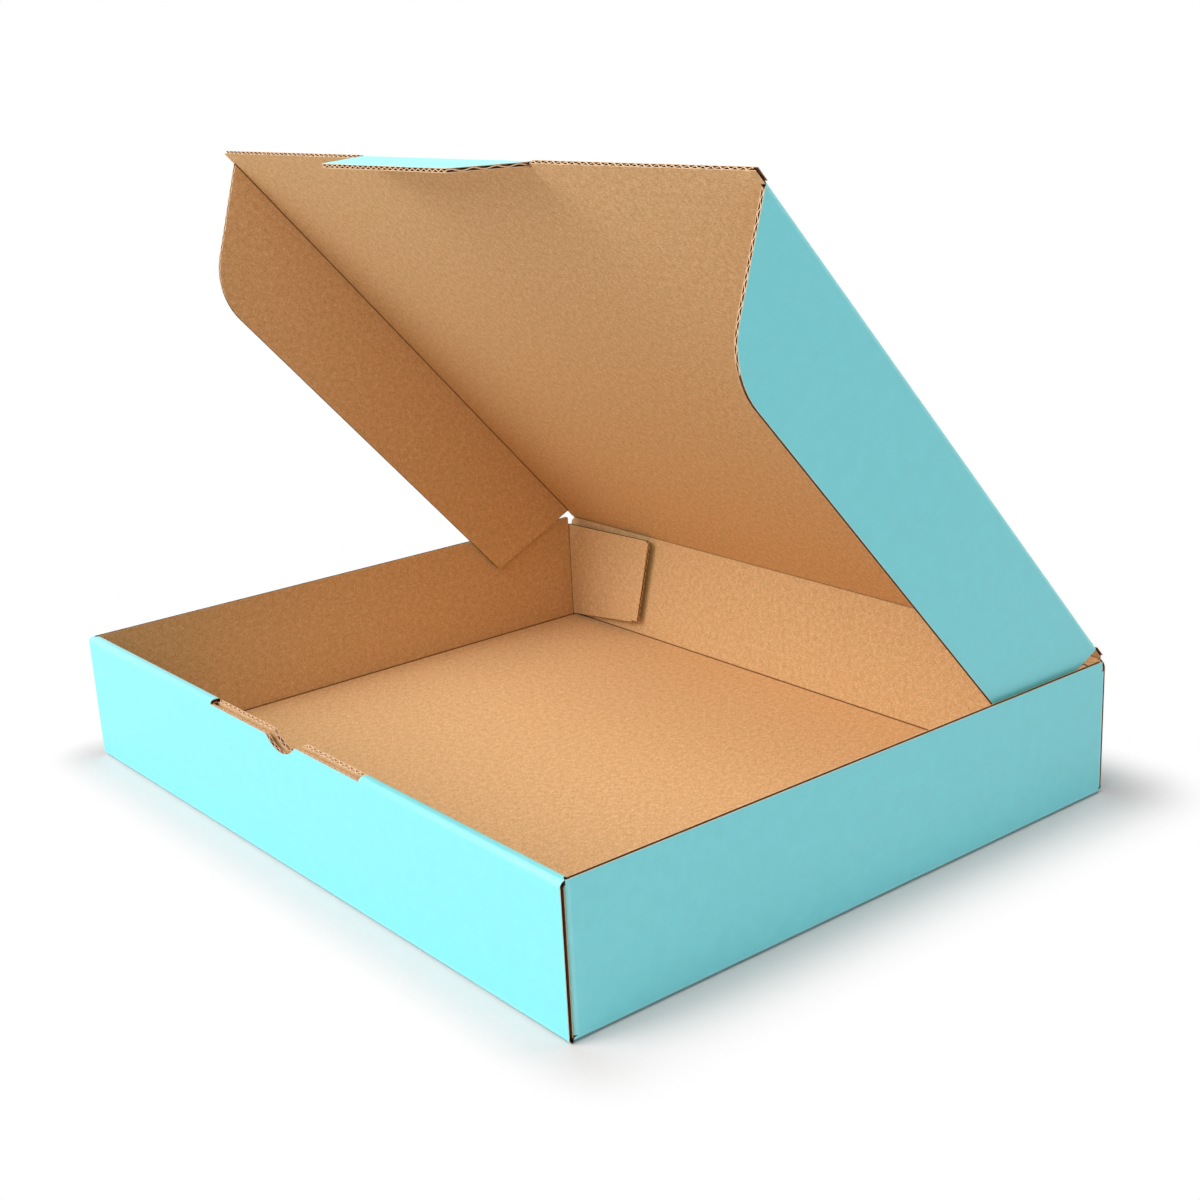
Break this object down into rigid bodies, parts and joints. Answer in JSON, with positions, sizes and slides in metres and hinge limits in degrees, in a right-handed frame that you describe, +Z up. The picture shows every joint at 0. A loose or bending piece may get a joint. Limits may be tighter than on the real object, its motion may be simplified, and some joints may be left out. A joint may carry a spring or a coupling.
{
  "type": "mailer box",
  "caption": "Shallow die-cut corrugated mailer box with a hinged lid, folded side ears, a tuck tab and a slotted roll-over front wall.",
  "frame": {"origin": "middle of the tray floor's underside", "axes": "+X to the right along the front wall, +Y from the front wall to the hinge, +Z up"},
  "size_m": [0.31, 0.25, 0.2364],
  "materials": {
    "printed_board": "matte print outside, kraft inside",
    "kraft_board": "plain kraft liner"
  },
  "bodies": {
    "tray": {"tray": "printed_board"},
    "lid": {"lid": "printed_board"},
    "front_tab": {"front_tab": "printed_board"},
    "rear_corner_flap_left": {"rear_corner_flap_left": "kraft_board"},
    "rear_corner_flap_right": {"rear_corner_flap_right": "kraft_board"}
  },
  "joints": [
    {"name": "lid_crease", "type": "hinge", "parent": "tray", "child": "lid", "pos_m": [0, 0.12425, 0.05175], "axis": [-1, 0, 0], "range_deg": [-47.57, 132]},
    {"name": "tab_crease", "type": "hinge", "parent": "lid", "child": "front_tab", "pos_m": [0, -0.04093, 0.23519], "axis": [-1, 0, 0], "range_deg": [-41.4, 49]},
    {"name": "left_flap_crease", "type": "hinge", "parent": "tray", "child": "rear_corner_flap_left", "pos_m": [-0.1535, 0.1217, 0.026], "axis": [0, 0, -1], "range_deg": [-2, 42]},
    {"name": "right_flap_crease", "type": "hinge", "parent": "tray", "child": "rear_corner_flap_right", "pos_m": [0.1535, 0.1217, 0.026], "axis": [0, 0, 1], "range_deg": [-2, 42]}
  ]
}
